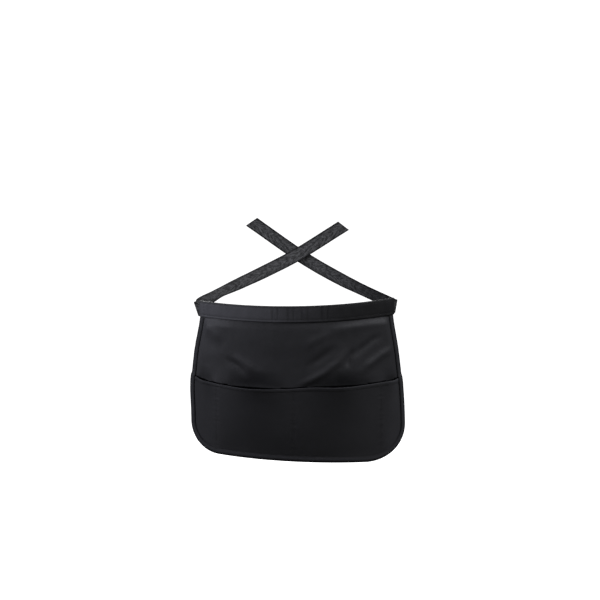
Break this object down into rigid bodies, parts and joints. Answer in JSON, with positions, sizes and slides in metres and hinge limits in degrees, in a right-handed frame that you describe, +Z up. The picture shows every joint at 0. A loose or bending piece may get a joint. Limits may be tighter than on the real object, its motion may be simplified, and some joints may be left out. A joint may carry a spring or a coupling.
{
  "type": "waist apron",
  "caption": "Short black cloth waist apron in worn form, with rounded lower corners, a divided front pocket, a folded waistband, a bound edge and two tape ties crossing behind.",
  "frame": {"origin": "middle of the waist opening, level with the top edge of the waistband", "axes": "+X to the right as seen from the front, +Y from the front to the wearer's back, +Z up"},
  "size_m": [0.4133, 0.2071, 0.4468],
  "materials": {
    "panel_cloth": "smooth twill",
    "pocket_cloth": "smooth twill",
    "band_cloth": "smooth twill",
    "binding_cloth": "folded twill",
    "tie_tape": "coarse woven tape"
  },
  "bodies": {
    "root": {"front_panel": "panel_cloth", "pocket_panel": "pocket_cloth", "waistband": "band_cloth", "edge_binding": "binding_cloth", "left_tie": "tie_tape", "right_tie": "tie_tape"}
  },
  "joints": []
}
